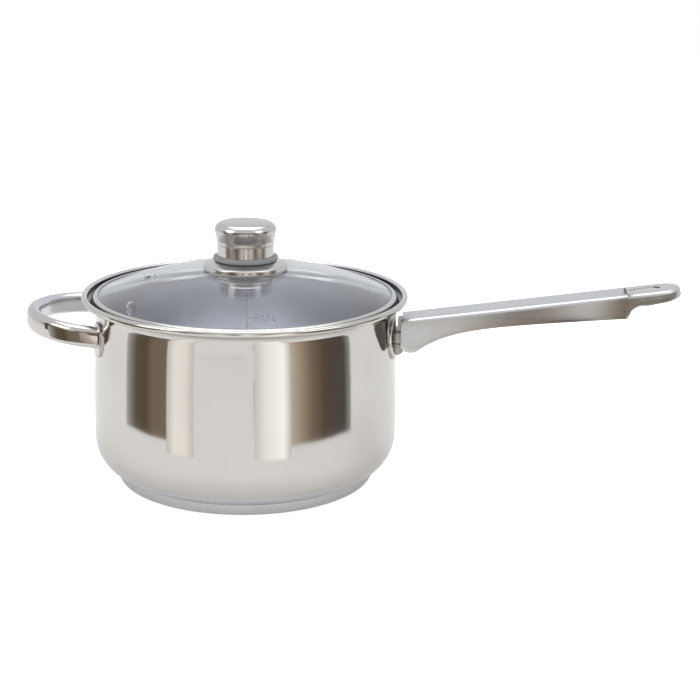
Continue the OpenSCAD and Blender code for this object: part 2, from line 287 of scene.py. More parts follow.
rivet_pair(
    "long_handle_rivet_heads", (-LONG_RIVET_ANGLE, LONG_RIVET_ANGLE), LONG_PAD_Z, "long_handle_rivets"
)
rivet_pair(
    "loop_handle_rivet_heads", (180 - LOOP_ANGLE, 180 + LOOP_ANGLE), LOOP_PAD_Z, "loop_handle_rivets"
)

# %% [markdown]
# ## Pads bent to the wall
# A pad starts as a flat rectangle whose four corners are rounded by a vertex bevel. It is sliced into
# narrow strips so that it can bend, pushed out to its thickness, broken at the edge and then wrapped:
# width becomes an angle round the pan, and depth becomes a distance outside the wall.

# %% Handle pads
def wall_pad(angle, height, width, tall, rounding):
    """A rounded plate wrapped round the wall, its middle at an angle and a height."""
    bm = bmesh.new()
    half_w, half_h = width / 2 * MM, tall / 2 * MM
    corners = ((-half_w, -half_h), (half_w, -half_h), (half_w, half_h), (-half_w, half_h))
    verts = [bm.verts.new((x, z, 0)) for x, z in corners]
    bm.faces.new(verts)
    bmesh.ops.bevel(
        bm, geom=verts, offset=rounding * MM, affect="VERTICES", segments=10, profile=0.5, material=-1
    )
    grown = bmesh.ops.extrude_face_region(bm, geom=bm.faces[:], use_keep_orig=True)
    top = [g for g in grown["geom"] if isinstance(g, bmesh.types.BMFace)]
    bmesh.ops.translate(bm, verts=top[0].verts[:], vec=(0, 0, PAD_SHEET * MM))
    bmesh.ops.bevel(
        bm, geom=top[0].edges[:], offset=0.5 * MM, affect="EDGES", segments=3, profile=0.5, material=-1
    )
    slices = 14
    for step in range(1, slices):
        everything = bm.verts[:] + bm.edges[:] + bm.faces[:]
        slice_x = -half_w + 2 * half_w * step / slices
        bmesh.ops.bisect_plane(bm, geom=everything, plane_co=(slice_x, 0, 0), plane_no=(1, 0, 0), dist=1e-7)
    face_outwards(bm)
    for vert in bm.verts:
        across, up, out = vert.co
        z = height * MM + up
        radius = wall_radius(z / MM) * MM + out
        turn = math.radians(angle) + across / (wall_radius(height) * MM)
        vert.co = (radius * math.cos(turn), radius * math.sin(turn), z)
    bmesh.ops.recalc_face_normals(bm, faces=bm.faces[:])
    return bm


long_pad_bm = wall_pad(0, LONG_PAD_Z, width=40, tall=27, rounding=12)
piece("long_handle_plate", long_pad_bm, "pan", ["long_handle_pad"], "polished_steel")
loop_pad_bm = bmesh.new()
for pad_angle in (180 - LOOP_ANGLE, 180 + LOOP_ANGLE):
    gather(loop_pad_bm, wall_pad(pad_angle, LOOP_PAD_Z, width=18, tall=23, rounding=8))
piece("loop_handle_plates", loop_pad_bm, "pan", ["loop_handle_pads"], "polished_steel")

# %% [markdown]
# ## The litre scale
# A fine upright line, with a tick and a number for each half litre from one litre up, is etched inside
# the wall. Each mark is a strip or a flat text a few hundredths of a millimetre thick, bent to the wall
# like the pads. The step is what half a litre raises the level by in a pan of this width.

# %% Litre scale
SCALE_ANGLE, LITRE_STEP, HALF_LITRE_Z = 98.5, 15.9, 19.4
MARK_LIFT, MARK_SHEET = 0.04, 0.02
LINE_LOW, LINE_HIGH, LINE_HALF, TICK_END = 32, 104, 0.3, 9
FIGURE_LEFT, FIGURE_SIZE = 10, 6


def on_wall(bm, angle):
    """Bends flat marks, drawn with X across and Y up, to the inside of the wall."""
    for vert in bm.verts:
        across, z, lift = vert.co
        radius = (wall_radius(z / MM) - SHEET - MARK_LIFT) * MM - lift
        turn = math.radians(angle) - across / ((BELLY_R - SHEET) * MM)
        vert.co = (radius * math.cos(turn), radius * math.sin(turn), z)
    return bm


def flat_strip(bm, left, right, bottom, top):
    """A flat rectangle with enough cross lines to bend."""
    strip = bmesh.ops.create_grid(bm, x_segments=6, y_segments=10, size=0.5)["verts"]
    bmesh.ops.scale(bm, verts=strip, vec=((right - left) * MM, (top - bottom) * MM, 1))
    bmesh.ops.translate(bm, verts=strip, vec=((left + right) / 2 * MM, (bottom + top) / 2 * MM, 0))


def number_mesh(text, size, left, bottom):
    """A flat mesh of a short text, in metres, with its lower left corner at a place."""
    curve = bpy.data.curves.new("figure", "FONT")
    curve.body = text
    curve.size = size * MM
    holder = bpy.data.objects.new("figure", curve)
    bpy.context.scene.collection.objects.link(holder)
    flat = bpy.data.meshes.new_from_object(holder.evaluated_get(bpy.context.evaluated_depsgraph_get()))
    flat.transform(Matrix.Translation((left * MM, bottom * MM, 0)))
    bpy.data.objects.remove(holder)
    return flat


marks = bmesh.new()
flat_strip(marks, -LINE_HALF, LINE_HALF, LINE_LOW, LINE_HIGH)
for half_litres in range(2, 6):
    mark_z = HALF_LITRE_Z + LITRE_STEP * (half_litres - 1)
    flat_strip(marks, LINE_HALF, TICK_END, mark_z - LINE_HALF, mark_z + LINE_HALF)
    figure = number_mesh(f"{half_litres / 2:g} L", FIGURE_SIZE, FIGURE_LEFT, mark_z - 0.35 * FIGURE_SIZE)
    marks.from_mesh(figure)
    bpy.data.meshes.remove(figure)
bmesh.ops.solidify(marks, geom=marks.faces[:], thickness=MARK_SHEET * MM)
piece("litre_scale", on_wall(marks, SCALE_ANGLE), "pan", slot="bracket_steel")

# %% [markdown]
# ## The loop handle
# A thick bar bent to a half circle, with two short legs to the wall. The bar's section is a circle
# pulled apart into a stadium. It is spun half a turn about the loop's own centre, and its two ends are
# extruded to the pads, where they follow the curve of the wall.

# %% Loop handle
LOOP_R, LOOP_X, LOOP_Z, LOOP_TILT, TILT_X = 43.6, -99.7, 101.6, 5.6, -90
BAR_W, BAR_H, LEG = 9, 14.5, 8
loop_bm = bmesh.new()
ring = bmesh.ops.create_circle(loop_bm, cap_ends=False, segments=40, radius=BAR_W / 2 * MM)["verts"]
bmesh.ops.rotate(loop_bm, verts=ring, cent=(0, 0, 0), matrix=Matrix.Rotation(math.radians(90), 3, "Y"))
for vert in ring:
    vert.co.z += math.copysign((BAR_H - BAR_W) / 2 * MM, vert.co.z) if abs(vert.co.z) > 1e-7 else 0
bmesh.ops.translate(loop_bm, verts=ring, vec=(LOOP_X * MM, -LOOP_R * MM, 0))
start_edges = loop_bm.edges[:]
swept = bmesh.ops.spin(
    loop_bm, geom=ring + start_edges, cent=(LOOP_X * MM, 0, 0), axis=(0, 0, 1),
    angle=-math.pi, steps=72,
)
end_edges = [g for g in swept["geom_last"] if isinstance(g, bmesh.types.BMEdge)]
tips = []
for edges in (start_edges, end_edges):
    leg = bmesh.ops.extrude_edge_only(loop_bm, edges=edges)["geom"]
    tips += [g for g in leg if isinstance(g, bmesh.types.BMVert)]
bmesh.ops.translate(loop_bm, verts=tips, vec=(LEG * MM, 0, 0))
tilt = Matrix.Rotation(math.radians(LOOP_TILT), 3, "Y")
bmesh.ops.rotate(loop_bm, verts=loop_bm.verts[:], cent=(TILT_X * MM, 0, 0), matrix=tilt)
bmesh.ops.translate(loop_bm, verts=loop_bm.verts[:], vec=(0, 0, LOOP_Z * MM))
for vert in tips:
    reach = (wall_radius(vert.co.z / MM) + PAD_SHEET - 0.3) * MM
    vert.co.x = -math.sqrt(reach ** 2 - vert.co.y ** 2)
bmesh.ops.holes_fill(loop_bm, edges=[e for e in loop_bm.edges if e.is_boundary], sides=0)
piece("loop_bar", face_outwards(loop_bm), "pan", ["loop_handle"], "polished_steel")

# %% [markdown]
# ## The long handle
# Pressed from one sheet: a flat top with a hanging slot, a rounded fold along both sides and round the
# tip, and two skirts that are deep at the pan and thin towards the nose. The outline seen from above is
# filled, its skirts are extruded down, the fold is a three millimetre bevel, and then the whole is
# sheared up along the handle's slope. The slot's ring is filled in with the flat top. The skirts' lower
# edge follows a curve given for every x, and the skirts are drawn in a little towards the fold, so that
# they are slightly crowned. The sheet's thickness comes from Solidify.

# %% Long handle: outline and skirts
ROOT_X, TIP_X, HANDLE_W, HANDLE_SHEET = 104.5, 285, 28, 1.2
SLOPE = math.tan(math.radians(8.6))
ROOT_TOP_Z, ROOT_LOW_Z, ROOT_CORNER = 112.8, 91.3, 5
NOSE_X, NOSE_CUT, NOSE_LOW_Z = 251, 9.5, 133.8
NOTCH_LIP, NOTCH_REACH = 0.6, 1.17
SKIRT_X, SKIRT_Z, SKIRT_RISE = 99, 105, 0.096
DEEP_X, DEEPER, FADE = 117.5, 12.9, 20
FOLD_R, CROWN = 3, 0.7


def straight_edge(x):
    """Height of the skirt's lower edge where it runs straight."""
    return SKIRT_Z + SKIRT_RISE * (x - SKIRT_X)


def skirt_low(x):
    """Height of the skirt's lower edge at x, in millimetres."""
    skirt = straight_edge(x) - DEEPER * math.exp((DEEP_X - x) / FADE)
    cut_z = straight_edge(NOSE_X) - NOTCH_LIP
    notch_end = NOSE_X + NOSE_CUT * NOTCH_REACH
    if x < ROOT_X + ROOT_CORNER:
        drop = ROOT_CORNER - (x - ROOT_X)
        return ROOT_LOW_Z + ROOT_CORNER - math.sqrt(max(ROOT_CORNER ** 2 - drop ** 2, 0))
    if x <= NOSE_X:
        return max(skirt, ROOT_LOW_Z)
    if x < notch_end:
        return cut_z + math.sqrt(max(NOSE_CUT ** 2 - (NOSE_X + NOSE_CUT - x) ** 2, 0))
    notch_top = cut_z + math.sqrt(NOSE_CUT ** 2 - (NOSE_X + NOSE_CUT - notch_end) ** 2)
    share = (x - notch_end) / (TIP_X - notch_end)
    return notch_top + (NOSE_LOW_Z - notch_top) * share


stations = [ROOT_X + ROOT_CORNER * (1 - math.cos(math.radians(a))) for a in range(0, 91, 15)]
stations += [ROOT_X + ROOT_CORNER + (NOSE_X - ROOT_X - ROOT_CORNER) * s / 50 for s in range(1, 51)]
stations += [NOSE_X + NOSE_CUT * (1 - math.cos(math.radians(a))) + 0.02 for a in range(6, 97, 10)]
# From here the lower edge runs straight to the tip.
stations += [262.6, 264.5, 266.4, 268.6]
handle_bm = bmesh.new()
half = HANDLE_W / 2
near = [handle_bm.verts.new((x * MM, -half * MM, 0)) for x in stations + [TIP_X - half]]
for a, b in zip(near, near[1:]):
    handle_bm.edges.new((a, b))
bmesh.ops.spin(
    handle_bm, geom=[near[-1]], cent=((TIP_X - half) * MM, 0, 0), axis=(0, 0, 1),
    angle=math.pi / 2, steps=24,
)
bmesh.ops.mirror(
    handle_bm, geom=handle_bm.verts[:] + handle_bm.edges[:], matrix=Matrix(), merge_dist=1e-6, axis="Y"
)
bmesh.ops.remove_doubles(handle_bm, verts=handle_bm.verts[:], dist=1e-6)
print("handle outline has", len(handle_bm.verts), "vertices")

# %% Long handle: top, skirts and fold
root_verts = sorted(handle_bm.verts, key=lambda v: v.co.x)[:2]
root_edge = handle_bm.edges.new(root_verts)
outline_edges = [e for e in handle_bm.edges if e is not root_edge]
bmesh.ops.contextual_create(handle_bm, geom=handle_bm.edges[:])
down = bmesh.ops.extrude_edge_only(handle_bm, edges=outline_edges)["geom"]
skirt_verts = [g for g in down if isinstance(g, bmesh.types.BMVert)]
bmesh.ops.translate(handle_bm, verts=skirt_verts, vec=(0, 0, -2 * FOLD_R * MM))
bmesh.ops.bevel(
    handle_bm, geom=outline_edges, offset=FOLD_R * MM, affect="EDGES", segments=6, profile=0.5,
    material=-1, clamp_overlap=False,
)
flat_top = max(handle_bm.faces, key=lambda f: len(f.verts))
flat_edges = flat_top.edges[:]
bmesh.ops.delete(handle_bm, geom=[flat_top], context="FACES_ONLY")
print("top outline has", len(flat_edges), "edges round it")

# %% Long handle: slot, slope and sheet
SLOT_L, SLOT_W, SLOT_X = 19, 9.5, 261.6
SLOT_CLEAR_R = SLOT_W / 2 + 2


def top_height(x):
    """Height of the handle's flat top at x, in millimetres."""
    return ROOT_TOP_Z + (x - ROOT_X) * SLOPE


slot_ring = bmesh.ops.create_circle(handle_bm, cap_ends=False, segments=48, radius=SLOT_W / 2 * MM)["verts"]
for vert in slot_ring:
    vert.co.x += math.copysign((SLOT_L - SLOT_W) / 2 * MM, vert.co.x) if abs(vert.co.x) > 1e-7 else 0
bmesh.ops.translate(handle_bm, verts=slot_ring, vec=(SLOT_X * MM, 0, 0))
slot_edges = {e for v in slot_ring for e in v.link_edges}
bmesh.ops.triangle_fill(
    handle_bm, use_beauty=True, use_dissolve=False, edges=flat_edges + list(slot_edges), normal=(0, 0, 1)
)
low = {v for v in handle_bm.verts if v.co.z < -(FOLD_R + 0.5) * MM}
for vert in handle_bm.verts:
    vert.co.z += top_height(vert.co.x / MM) * MM
for vert in low:
    vert.co.z = skirt_low(vert.co.x / MM) * MM
upright = [e for e in handle_bm.edges if (e.verts[0] in low) != (e.verts[1] in low)]
bmesh.ops.subdivide_edges(handle_bm, edges=upright, cuts=4, use_grid_fill=True)
for vert in handle_bm.verts:
    sideways = Vector((max(vert.co.x - (TIP_X - half) * MM, 0), vert.co.y, 0))
    if sideways.length < SLOT_CLEAR_R * MM:
        continue
    fold_z = (top_height(vert.co.x / MM) - FOLD_R) * MM
    low_z = skirt_low(vert.co.x / MM) * MM
    drop = min(max((fold_z - vert.co.z) / (fold_z - low_z), 0), 1)
    vert.co -= sideways.normalized() * CROWN * MM * (1 - drop) ** 2
piece(
    "handle_channel", face_outwards(handle_bm), "pan", ["long_handle"], "handle_steel",
    sheet=HANDLE_SHEET, edge=0.3,
)

# %% [markdown]
# ## The bracket in the handle's mouth
# A plate closes the channel's root end. Two stacked round ribs, and a short web above them, join it to
# the pad. Each rib is a capped cylinder with broken ends, cut by a plane where it meets the pad.

# %% Bracket
PLATE_SHEET, PLATE_TALL, PLATE_X, PLATE_Z, SIDE_GAP = 2, 16.6, 105.6, 101.7, 0.15
RIB_R, RIB_L, RIB_X, RIB_HEIGHTS = 4, 19, 102.4, (92.1, 99.7)
WEB_SIZE, WEB_MIDDLE = (3.4, 12, 9.5), (103.6, 0, 106.5)
PAD_FACE_X = 100.9


def block(bm, size, middle):
    """Adds a box, with its size and its middle in millimetres."""
    verts = bmesh.ops.create_cube(bm, size=1)["verts"]
    bmesh.ops.scale(bm, verts=verts, vec=Vector(size) * MM)
    bmesh.ops.translate(bm, verts=verts, vec=Vector(middle) * MM)


bracket_bm = bmesh.new()
plate_w = HANDLE_W - 2 * (HANDLE_SHEET + SIDE_GAP)
block(bracket_bm, (PLATE_SHEET, plate_w, PLATE_TALL), (PLATE_X, 0, PLATE_Z))
bmesh.ops.bevel(
    bracket_bm, geom=bracket_bm.edges[:], offset=0.4 * MM, affect="EDGES", segments=2, profile=0.5,
    material=-1,
)
block(bracket_bm, WEB_SIZE, WEB_MIDDLE)
for rib_z in RIB_HEIGHTS:
    rib = bmesh.ops.create_cone(
        bracket_bm, cap_ends=True, segments=56, radius1=RIB_R * MM, radius2=RIB_R * MM, depth=RIB_L * MM
    )["verts"]
    rib_edges = {e for v in rib for e in v.link_edges}
    caps = [e for e in rib_edges if abs(e.verts[0].co.z - e.verts[1].co.z) < 1e-6]
    bmesh.ops.rotate(bracket_bm, verts=rib, matrix=Matrix.Rotation(math.radians(90), 3, "X"))
    bmesh.ops.translate(bracket_bm, verts=rib, vec=(RIB_X * MM, 0, rib_z * MM))
    bmesh.ops.bevel(
        bracket_bm, geom=caps, offset=1 * MM, affect="EDGES", segments=4, profile=0.5, material=-1
    )
bmesh.ops.bisect_plane(
    bracket_bm, geom=bracket_bm.verts[:] + bracket_bm.edges[:] + bracket_bm.faces[:],
    plane_co=(PAD_FACE_X * MM, 0, 0), plane_no=(1, 0, 0), clear_inner=True,
)
bmesh.ops.holes_fill(bracket_bm, edges=[e for e in bracket_bm.edges if e.is_boundary], sides=0)
face_outwards(bracket_bm)
piece("handle_bracket", bracket_bm, "pan", ["long_handle_bracket"], "bracket_steel")

# %% [markdown]
# ## The glass
# Tempered glass pressed to a shallow dome, thick enough to bend what is seen through it, so both faces
# and the round edge are modelled. The knob's hole is part of the outline. The small steam vent is off
# the axis, so it is cut with a Boolean against a short turned plug.

# %% Lid glass
DOME_R, GLASS, CROWN_Z, EDGE_X = 275, 4, 142.8, 98.3
DOME_Z = CROWN_Z - DOME_R
MID_R = DOME_R - GLASS / 2
EDGE_ANGLE = math.degrees(math.acos(EDGE_X / MID_R))
EDGE_Z = DOME_Z + MID_R * math.sin(math.radians(EDGE_ANGLE))
HOLE_R = 5
VENT_X, VENT_ANGLE, VENT_BORE_R = 63.5, 184, 2.65


def glass_height(radius, depth=0):
    """Height of the dome at a radius, at a depth below its upper face."""
    return DOME_Z + math.sqrt((DOME_R - depth) ** 2 - radius ** 2)


top_turn = 90 - math.degrees(math.asin(HOLE_R / DOME_R)) - EDGE_ANGLE
low_turn = 90 - math.degrees(math.asin(HOLE_R / (DOME_R - GLASS))) - EDGE_ANGLE
dome = outline(HOLE_R, glass_height(HOLE_R))
dome.arc(0, DOME_Z, -top_turn, 40).arc(EDGE_X, EDGE_Z, -180, 14).arc(0, DOME_Z, low_turn, 40)
lid_glass = piece("glass_dome", turned(dome.done(closed=True)), "lid", ["lid_glass"], "tempered_glass")

# %% Steam vent
to_vent = (
    Matrix.Translation((0, 0, DOME_Z * MM))
    @ Matrix.Rotation(math.radians(VENT_ANGLE), 4, "Z")
    @ Matrix.Rotation(math.asin(VENT_X / MID_R), 4, "Y")
)
plug_line = outline(0, DOME_R - 8)
plug_line.line(VENT_BORE_R, DOME_R - 8).line(VENT_BORE_R, DOME_R + 4).line(0, DOME_R + 4)
plug_bm = turned(plug_line.done(), 48)
plug_bm.transform(to_vent)
plug_mesh = bpy.data.meshes.new("vent_plug")
plug_bm.to_mesh(plug_mesh)
plug_bm.free()
plug = bpy.data.objects.new("vent_plug", plug_mesh)
bpy.context.scene.collection.objects.link(plug)
cutter = lid_glass.modifiers.new("vent", "BOOLEAN")
cutter.object = plug
cutter.operation = "DIFFERENCE"
cutter.solver = "EXACT"
pierced = bpy.data.meshes.new_from_object(lid_glass.evaluated_get(bpy.context.evaluated_depsgraph_get()))
lid_glass.modifiers.remove(cutter)
lid_glass.data = pierced
bpy.data.objects.remove(plug)
STEAM_R, EYELET_R, EYELET_LOW_R, EYELET_TOP_R = 1.7, 2.55, 3.9, 4.2
under, over = DOME_R - GLASS - 0.1, DOME_R + 0.05
eyelet_line = outline(STEAM_R, under - 0.6)
eyelet_line.line(EYELET_LOW_R, under - 0.6, 0.3).line(EYELET_LOW_R, under).line(EYELET_R, under)
eyelet_line.line(EYELET_R, over).line(EYELET_TOP_R, over).line(EYELET_TOP_R, over + 0.75, 0.5)
eyelet_line.line(STEAM_R, over + 1, 0.6)
eyelet_bm = turned(eyelet_line.done(closed=True), 64)
eyelet_bm.transform(to_vent)
piece("vent_ring", eyelet_bm, "lid", ["vent_eyelet"], "polished_steel")

# %% [markdown]
# ## The band round the glass
# A thin steel strip is rolled over the glass's edge, so that its section is a letter C open towards the
# middle. The outer and inner arcs are drawn round the edge's own centre.

# %% Lid band
BAND_R, BAND_IN, LIP = 2.85, 2.03, 0.7
lip_turn = math.degrees(math.acos(LIP / BAND_R))
band_line = outline(EDGE_X - LIP, EDGE_Z + math.sqrt(BAND_R ** 2 - LIP ** 2))
band_line.arc(EDGE_X, EDGE_Z, -2 * (180 - lip_turn), 28)
inner_turn = math.degrees(math.acos(LIP / BAND_IN))
band_line.line(EDGE_X - LIP, EDGE_Z - math.sqrt(BAND_IN ** 2 - LIP ** 2))
band_line.arc(EDGE_X, EDGE_Z, 2 * (180 - inner_turn), 28)
piece("glass_band", turned(band_line.done(closed=True)), "lid", ["lid_band"], "polished_steel")

# %% [markdown]
# ## The knob
# From the glass up: a dished steel flange, a dark grey ring, a steel neck and a mushroom cap. Each is
# its own turned part, as on the real knob, so that the lines between them are true gaps in the steel.

# %% Knob cap and neck
CAP_LOW_Z, KNOB_TOP_Z, KNOB_SHEET = 157.8, 173.4, 0.8
NECK_TUBE_R, NECK_LOW_Z = 18.7, 150.35
cap_outline = outline(0, KNOB_TOP_Z)
cap_outline.line(8, 173.15, 30).line(16.34, 172.39).arc(15.3, 167.5, -90, 14)
cap_outline.line(19.6, 163.4, 14).line(19.0, 160.4, 9).line(18.9, CAP_LOW_Z, 0.25)
cap_outline.line(18.1, CAP_LOW_Z).line(18.8, 163.4, 5).line(19.3, 166.4, 2).line(16.2, 171.6, 2)
cap_outline.line(8, 172.3, 20).line(0, KNOB_TOP_Z - KNOB_SHEET)
cap_bm = turned(cap_outline.done())
piece("knob_mushroom_cap", cap_bm, "lid", ["knob_cap"], "knob_steel", smooth=math.radians(50))
neck_line = outline(NECK_TUBE_R, NECK_LOW_Z)
neck_line.line(NECK_TUBE_R, CAP_LOW_Z - 0.05).line(NECK_TUBE_R - KNOB_SHEET, CAP_LOW_Z - 0.05)
neck_line.line(NECK_TUBE_R - KNOB_SHEET, NECK_LOW_Z)
neck_bm = turned(neck_line.done(closed=True))
piece("knob_neck_sleeve", neck_bm, "lid", ["knob_neck"], "knob_steel")

# %% Knob ring and flange
RING_R, RING_TOP_Z, FLANGE_R, FLANGE_LOW_Z, FLANGE_TOP_Z = 21.4, 150.3, 28, 142.1, 147.7
CORE_R, SCREW_HOLE_R, FIT = 8, 3.2, 0.02
ring_line = outline(CORE_R, FLANGE_TOP_Z + FIT)
ring_line.line(RING_R, FLANGE_TOP_Z + FIT, 0.6).line(RING_R, RING_TOP_Z, 0.7).line(CORE_R, RING_TOP_Z)
ring_bm = turned(ring_line.done(closed=True))
piece("knob_grey_ring", ring_bm, "lid", ["knob_ring"], "grey_silicone")
flange_line = outline(FLANGE_R, FLANGE_LOW_Z)
flange_line.line(FLANGE_R, 144.9, 1).line(23, 146.1, 14).line(19.6, FLANGE_TOP_Z, 1.2)
flange_line.line(SCREW_HOLE_R, FLANGE_TOP_Z).line(SCREW_HOLE_R, FLANGE_TOP_Z - 0.9)
flange_line.line(19.3, FLANGE_TOP_Z - 0.9, 1)
flange_line.line(22.8, 145.25, 10).line(FLANGE_R - 0.9, 144.1, 0.5).line(FLANGE_R - 0.9, FLANGE_LOW_Z)
flange_bm = turned(flange_line.done(closed=True))
piece("knob_dished_flange", flange_bm, "lid", ["knob_flange"], "knob_steel")

# %% [markdown]
# ## Under the glass
# A shallow steel cup, pulled up by the knob's screw through a soft gasket. It is seen through the glass
# and from below when the lid is off.

# %% Under cup and gaskets
CUP_R, CUP_TOP_Z, CUP_LOW_Z, CUP_SHEET, CUP_HOLE_R = 17.3, 137.2, 128.5, 0.8, 2.8
SEAL_IN_R, SEAL_OUT_R, SQUEEZE = 24, 27.6, 0.06
cup_line = outline(CUP_HOLE_R, CUP_LOW_Z)
cup_line.line(CUP_R, CUP_LOW_Z, 3).line(CUP_R, CUP_TOP_Z).line(CUP_R - CUP_SHEET, CUP_TOP_Z)
cup_line.line(CUP_R - CUP_SHEET, CUP_LOW_Z + CUP_SHEET, 2.2).line(CUP_HOLE_R, CUP_LOW_Z + CUP_SHEET)
cup_bm = turned(cup_line.done(closed=True), 128)
piece("clamping_cup", cup_bm, "lid", ["under_cup"], "polished_steel")
seal_line = outline(CORE_R, CUP_TOP_Z + FIT)
seal_line.line(CUP_R, CUP_TOP_Z + FIT, 0.3).line(CUP_R, glass_height(CUP_R, GLASS) - SQUEEZE, 0.3)
seal_line.line(CORE_R, glass_height(CORE_R, GLASS) - SQUEEZE)
seal_bm = turned(seal_line.done(closed=True), 96)
piece("cup_gasket", seal_bm, "lid", ["under_gasket"], "clear_silicone")
rim_line = outline(SEAL_IN_R, glass_height(SEAL_IN_R) + 0.05)
rim_line.line(SEAL_OUT_R, glass_height(SEAL_OUT_R) + 0.05).line(SEAL_OUT_R, FLANGE_LOW_Z - FIT)
rim_line.line(SEAL_IN_R, FLANGE_LOW_Z - FIT)
rim_seal_bm = turned(rim_line.done(closed=True), 96)
piece("flange_seal", rim_seal_bm, "lid", ["flange_gasket"], "clear_silicone")

# %% [markdown]
# ## Finishes
# A finish is a small tree of shader nodes. Writing it as sums and products is easier to read than wiring
# it by hand, so one class wraps a socket and turns each operator into a Math node. Every other node
# comes from one method, which takes its type, its settings and what goes into its sockets.

# %% Shader maths
class Number:
    """The value of one socket. Its operators add Math nodes."""

    def __init__(self, tree, socket):
        self.tree, self.socket = tree, socket

    def maths(self, operation, first, second):
        made = self.tree.node("ShaderNodeMath", {0: first, 1: second}, operation=operation)
        return Number(self.tree, made.outputs[0])

    def __add__(self, other):
        return self.maths("ADD", self, other)

    def __mul__(self, other):
        return self.maths("MULTIPLY", self, other)

    def __sub__(self, other):
        return self.maths("SUBTRACT", self, other)

    def __rsub__(self, other):
        return self.maths("SUBTRACT", other, self)

    def __pow__(self, other):
        return self.maths("POWER", self, other)

    def above(self, other):
        return self.maths("GREATER_THAN", self, other)

    def between(self, low, high):
        return self.above(low) * (high - self).above(0)

    __radd__, __rmul__ = __add__, __mul__


class NodeTree:
    """The nodes of one material or of the surround."""

    def __init__(self, tree):
        self.tree = tree

    def node(self, kind, inputs=None, **settings):
        made = self.tree.nodes.new(kind)
        for setting, value in settings.items():
            setattr(made, setting, value)
        for socket, value in (inputs or {}).items():
            if isinstance(value, Number):
                value = value.socket
            if isinstance(value, bpy.types.NodeSocket):
                self.tree.links.new(value, made.inputs[socket])
            else:
                made.inputs[socket].default_value = value
        return made

    def number(self, socket):
        return Number(self, socket)

    def blend(self, factor, first, second):
        made = self.node(
            "ShaderNodeMix", {0: factor, 6: first, 7: second}, data_type="RGBA", clamp_factor=True
        )
        return made.outputs[2]


class Finish(NodeTree):
    """One material: its Principled shader and the nodes that feed it."""

    def __init__(self, name, **constants):
        self.material = bpy.data.materials.new(name)
        self.material.use_nodes = True
        super().__init__(self.material.node_tree)
        self.shader = self.tree.nodes["Principled BSDF"]
        for socket, value in constants.items():
            self.shader.inputs[socket.replace("_", " ")].default_value = value
        self.place = self.node("ShaderNodeTexCoord").outputs["Object"]

    def feed(self, socket, value):
        source = value.socket if isinstance(value, Number) else value
        self.tree.links.new(source, self.shader.inputs[socket])

    def noise(self, scale, stretch=(1, 1, 1), detail=3, roughness=0.55, place=None):
        mapped = self.node(
            "ShaderNodeMapping", {"Vector": place or self.place, "Scale": stretch}, vector_type="POINT"
        )
        grain = self.node(
            "ShaderNodeTexNoise",
            {"Vector": mapped.outputs[0], "Scale": scale, "Detail": detail, "Roughness": roughness},
        )
        return self.number(grain.outputs[0])

    def bump(self, height, distance, strength=1.0):
        made = self.node("ShaderNodeBump", {"Height": height, "Distance": distance, "Strength": strength})
        self.feed("Normal", made.outputs[0])


print("shader maths is ready")

# %% [markdown]
# ## Steel
# Stainless steel takes its look from what it reflects. What a finish adds is how sharp the reflection is
# and in which direction it is drawn out. A buffed outside is nearly a mirror with faint waves. The inside
# is brushed round the axis, so its grain is noise stretched along the turn: the coordinates given to
# the noise are the radius and the height, with very little of the angle. Shade is painted into the narrow
# groove between the lid's band and the rim: the flare's colour is made nearly black there.

# %% Round-the-axis coordinates
def turned_place(finish, along=0.015):
    """Coordinates of radius, a little angle, and height, for marks that run round the axis."""
    split = finish.node("ShaderNodeSeparateXYZ", {0: finish.place})
    x, y, z = [finish.number(split.outputs[i]) for i in range(3)]
    radius = (x * x + y * y) ** 0.5
    angle = x.maths("ARCTAN2", y, x)
    joined = finish.node("ShaderNodeCombineXYZ", {0: radius, 1: angle * along, 2: z})
    return joined.outputs[0], radius, z


def facing_out(finish):
    """How far a face leans away from the axis: below nothing on the inside of the wall."""
    shape = finish.node("ShaderNodeNewGeometry")
    flat_place = finish.node("ShaderNodeVectorMath", {0: finish.place, 1: (1, 1, 0)}, operation="MULTIPLY")
    towards = finish.node(
        "ShaderNodeVectorMath", {0: shape.outputs["Normal"], 1: flat_place.outputs[0]},
        operation="DOT_PRODUCT",
    )
    return finish.number(towards.outputs["Value"])


# %% Polished pan steel, brushed inside
FLOOR_EDGE_R, FLOOR_MASK_Z = 0.0965, (0.0061, 0.05)
# Painted shade: where the groove between the lid's band and the rim is coloured nearly black, in metres.
GROOVE_SHADE_R, GROOVE_SHADE_Z = (0.1003, 0.1043), (0.1205, 0.1249)


def pan_steel():
    finish = Finish("polished_steel", Metallic=1.0)
    round_place, radius, z = turned_place(finish)
    inside = 1 - facing_out(finish).above(-0.004)
    in_floor = (FLOOR_EDGE_R - radius).above(0) * z.between(*FLOOR_MASK_Z)
    brushed = finish.node("ShaderNodeMath", {0: inside, 1: in_floor}, operation="MAXIMUM")
    brushed = finish.number(brushed.outputs[0])
    grain = finish.noise(2600, place=round_place, detail=2)
    clouds = finish.noise(26, detail=4)
    smears = finish.noise(9, stretch=(1, 1, 0.35), detail=3)
    rough = 0.055 + smears * 0.05 + brushed * (0.05 + in_floor * 0.10 + grain * 0.10)
    finish.feed("Roughness", rough)
    tone = finish.blend(clouds, (0.60, 0.58, 0.55, 1), (0.665, 0.645, 0.615, 1))
    inner_tone = finish.blend(grain, (0.62, 0.62, 0.65, 1), (0.78, 0.78, 0.82, 1))
    # Painted shade: the groove between the band and the rim is darkened nearly to black in the colour.
    groove_shade = radius.between(*GROOVE_SHADE_R) * z.between(*GROOVE_SHADE_Z)
    faced = finish.blend(brushed, tone, inner_tone)
    finish.feed("Base Color", finish.blend(groove_shade * 0.85, faced, (0.05, 0.045, 0.04, 1)))
    finish.bump(clouds * 0.9 + grain * brushed * 0.35, 0.00006)
    return finish.material


